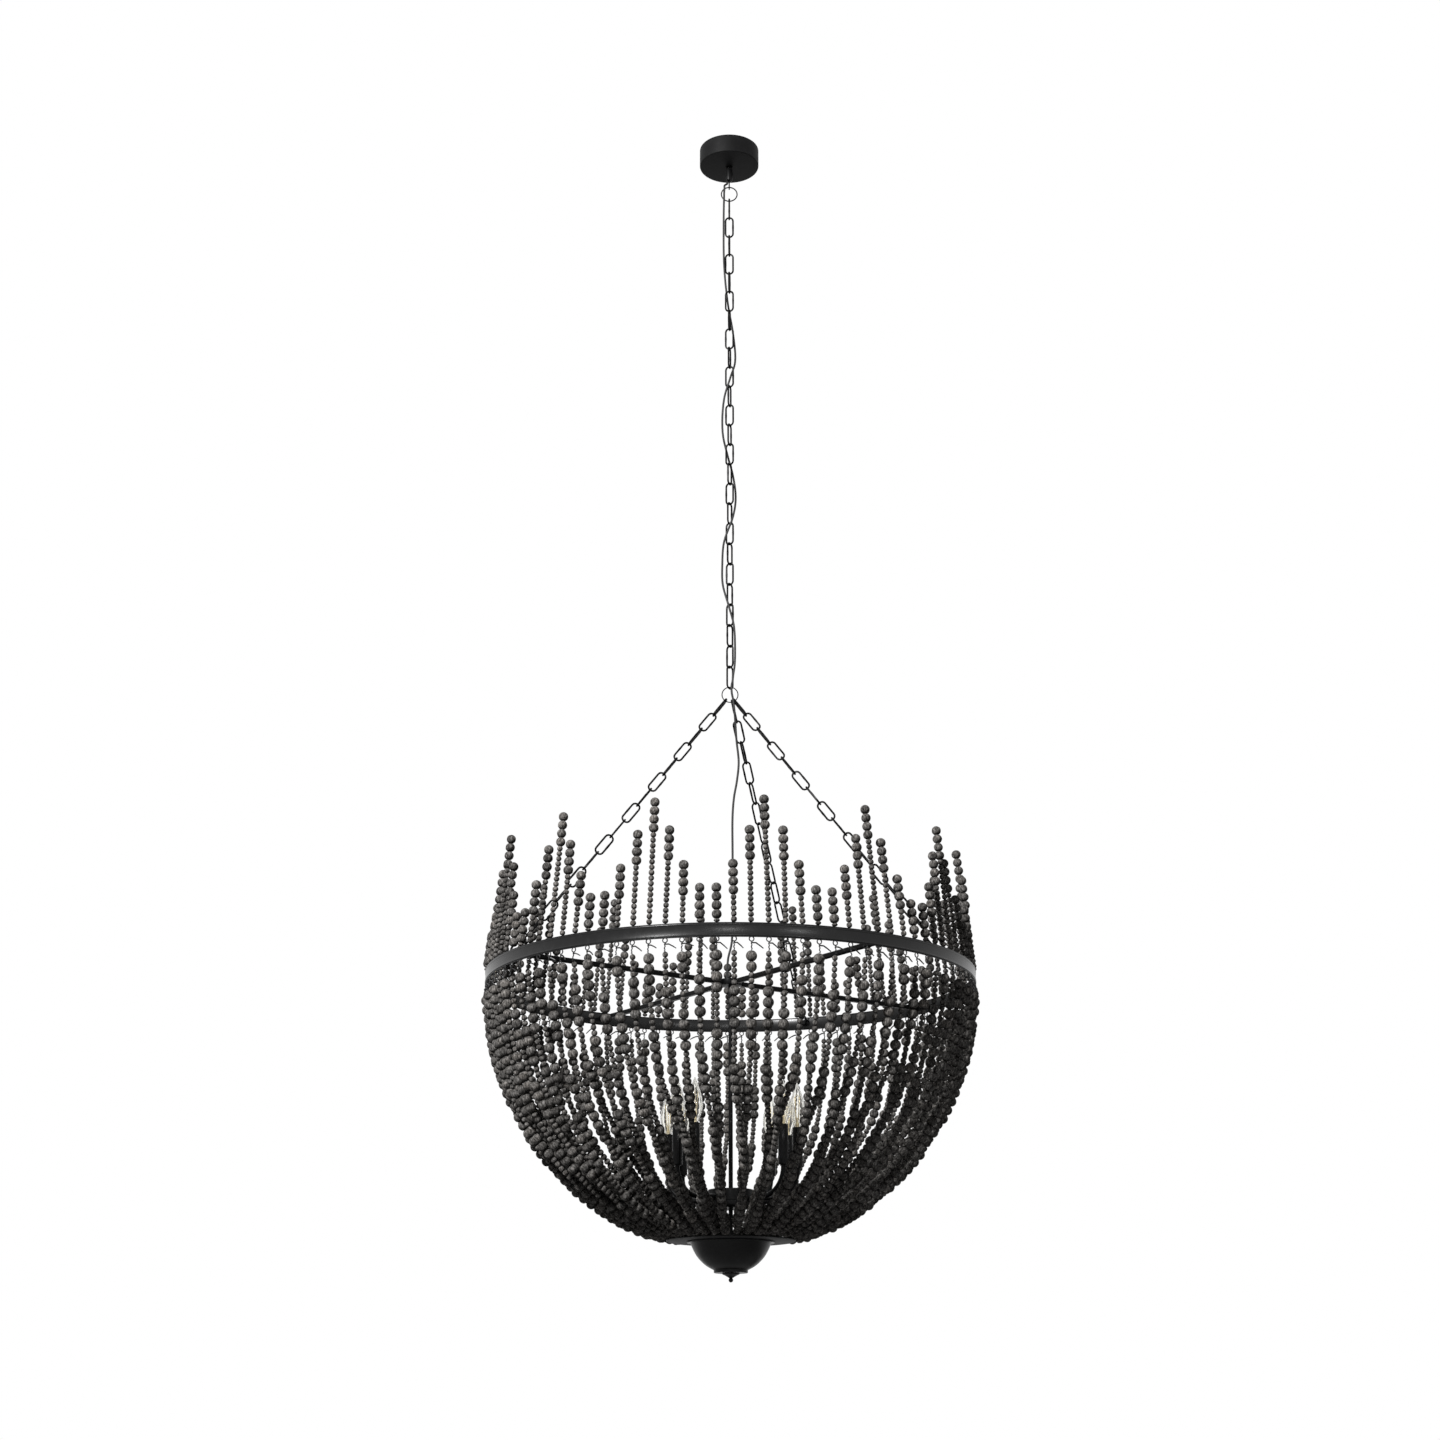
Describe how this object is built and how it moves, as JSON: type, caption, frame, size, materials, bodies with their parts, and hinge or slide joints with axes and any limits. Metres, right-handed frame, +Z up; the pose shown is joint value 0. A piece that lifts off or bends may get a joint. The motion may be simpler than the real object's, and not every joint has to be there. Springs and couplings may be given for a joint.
{
  "type": "beaded chandelier",
  "caption": "Bowl-shaped chandelier of dark wooden bead strands on a flat metal ring, with a spiky bead crown, candle lamps inside, leg chains, a long chain and a canopy.",
  "frame": {"origin": "middle of the ceiling bracket's top face, on the ceiling", "axes": "+Z up; the light hangs down along -Z; the picture is taken from -Y with +X to the right"},
  "size_m": [1.1024, 1.1024, 2.8138],
  "materials": {
    "bracket_steel": "zinc-plated steel",
    "block_plastic": "white moulded plastic",
    "black_satin": "satin black paint",
    "black_gloss": "gloss black paint",
    "dark_iron": "semi-gloss black, lightly worn",
    "sleeve_black": "gloss black",
    "bulb_glass": "clear glass, warm filament",
    "bead_wood": "dark grey stained wood, matt",
    "cord_skin": "dark flexible cord"
  },
  "bodies": {
    "ceiling_fixing": {"ceiling_bracket": "bracket_steel", "bracket_screw_1": "bracket_steel", "bracket_screw_2": "bracket_steel", "terminal_block": "block_plastic", "nipple": "bracket_steel", "canopy": "black_satin", "hanger_boss": "black_gloss", "hanger_loop": "black_gloss", "cord_grip": "black_gloss", "cord_stub": "cord_skin"},
    "top_link": {"top_ring": "dark_iron", "cord_at_top_ring": "cord_skin"},
    "chain": {"main_chain": "dark_iron", "cord_on_chain": "cord_skin"},
    "junction": {"junction_ring": "dark_iron"},
    "light": {"leg_chain_1": "dark_iron", "leg_chain_2": "dark_iron", "leg_chain_3": "dark_iron", "main_ring": "dark_iron", "cross_frame": "dark_iron", "centre_tube": "dark_iron", "lamp_hub": "black_gloss", "strand_plate": "dark_iron", "bottom_cup": "black_gloss", "finial": "black_gloss", "cord_drop": "cord_skin", "crown_beads_1": "bead_wood", "crown_beads_2": "bead_wood", "bead_curtain_1": "bead_wood", "bead_curtain_2": "bead_wood", "bead_curtain_3": "bead_wood", "bead_curtain_4": "bead_wood", "bead_curtain_5": "bead_wood", "bead_curtain_6": "bead_wood", "bead_curtain_7": "bead_wood", "lamp_arm_1": "dark_iron", "lamp_arm_2": "dark_iron", "lamp_arm_3": "dark_iron", "lamp_arm_4": "dark_iron", "lamp_arm_5": "dark_iron", "lamp_arm_6": "dark_iron", "lamp_arm_7": "dark_iron", "lamp_arm_8": "dark_iron", "candle_sleeve_1": "sleeve_black", "candle_sleeve_2": "sleeve_black", "candle_sleeve_3": "sleeve_black", "candle_sleeve_4": "sleeve_black", "candle_sleeve_5": "sleeve_black", "candle_sleeve_6": "sleeve_black", "candle_sleeve_7": "sleeve_black", "candle_sleeve_8": "sleeve_black"},
    "lamp_bulb_1": {"bulb_1": "bulb_glass"},
    "lamp_bulb_2": {"bulb_2": "bulb_glass"},
    "lamp_bulb_3": {"bulb_3": "bulb_glass"},
    "lamp_bulb_4": {"bulb_4": "bulb_glass"},
    "lamp_bulb_5": {"bulb_5": "bulb_glass"},
    "lamp_bulb_6": {"bulb_6": "bulb_glass"},
    "lamp_bulb_7": {"bulb_7": "bulb_glass"},
    "lamp_bulb_8": {"bulb_8": "bulb_glass"}
  },
  "joints": [
    {"name": "swing_side", "type": "hinge", "parent": "ceiling_fixing", "child": "top_link", "pos_m": [0, 0, -0.1113], "axis": [0, 1, 0], "range_deg": [-8, 8]},
    {"name": "swing_front", "type": "hinge", "parent": "top_link", "child": "chain", "pos_m": [0, 0, -0.1476], "axis": [1, 0, 0], "range_deg": [-8, 8]},
    {"name": "tilt_side", "type": "hinge", "parent": "chain", "child": "junction", "pos_m": [0, 0, -1.45875], "axis": [0, 1, 0], "range_deg": [-8, 8]},
    {"name": "tilt_front", "type": "hinge", "parent": "junction", "child": "light", "pos_m": [0, 0, -1.4905], "axis": [1, 0, 0], "range_deg": [-8, 8]},
    {"name": "bulb_out_1", "type": "slide", "parent": "light", "child": "lamp_bulb_1", "axis": [0, 0, 1], "range_m": [0, 0.024]},
    {"name": "bulb_out_2", "type": "slide", "parent": "light", "child": "lamp_bulb_2", "axis": [0, 0, 1], "range_m": [0, 0.024]},
    {"name": "bulb_out_3", "type": "slide", "parent": "light", "child": "lamp_bulb_3", "axis": [0, 0, 1], "range_m": [0, 0.024]},
    {"name": "bulb_out_4", "type": "slide", "parent": "light", "child": "lamp_bulb_4", "axis": [0, 0, 1], "range_m": [0, 0.024]},
    {"name": "bulb_out_5", "type": "slide", "parent": "light", "child": "lamp_bulb_5", "axis": [0, 0, 1], "range_m": [0, 0.024]},
    {"name": "bulb_out_6", "type": "slide", "parent": "light", "child": "lamp_bulb_6", "axis": [0, 0, 1], "range_m": [0, 0.024]},
    {"name": "bulb_out_7", "type": "slide", "parent": "light", "child": "lamp_bulb_7", "axis": [0, 0, 1], "range_m": [0, 0.024]},
    {"name": "bulb_out_8", "type": "slide", "parent": "light", "child": "lamp_bulb_8", "axis": [0, 0, 1], "range_m": [0, 0.024]}
  ]
}
